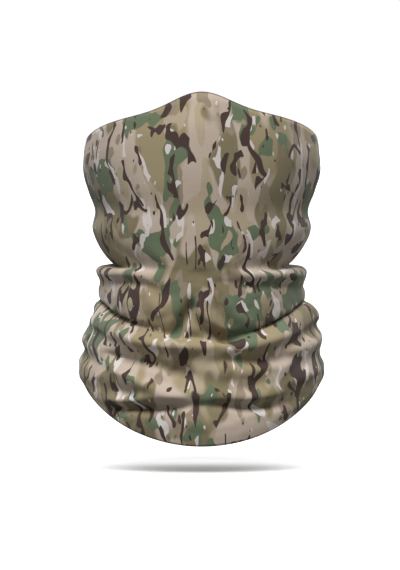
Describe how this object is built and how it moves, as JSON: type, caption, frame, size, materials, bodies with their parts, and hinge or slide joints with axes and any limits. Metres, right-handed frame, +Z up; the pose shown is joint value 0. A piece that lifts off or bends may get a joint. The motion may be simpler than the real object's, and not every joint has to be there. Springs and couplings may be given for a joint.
{
  "type": "tube face mask",
  "caption": "Tube face mask of stretch knit with a camouflage print, worn from the bridge of the nose to the chest, with its spare length gathered in soft folds at the neck.",
  "frame": {"origin": "centre of the wearer's head at ear level, on the tube's axis", "axes": "+Z up, out through the upper opening; the face looks along -Y; +X is to the right of someone who faces the mask"},
  "size_m": [0.177, 0.2005, 0.2542],
  "materials": {
    "camo_knit": "matt stretch knit with a printed woodland and dry-grass camouflage",
    "knit_reverse": "matt unprinted back of the knit",
    "sewing_thread": "matt textured polyester thread"
  },
  "bodies": {
    "root": {"face_tube": "camo_knit", "upper_hem": "knit_reverse", "lower_hem": "knit_reverse", "upper_hem_thread": "sewing_thread", "lower_hem_thread": "sewing_thread", "back_seam_allowance": "knit_reverse", "back_seam_thread_left": "sewing_thread", "back_seam_thread_right": "sewing_thread"}
  },
  "joints": []
}
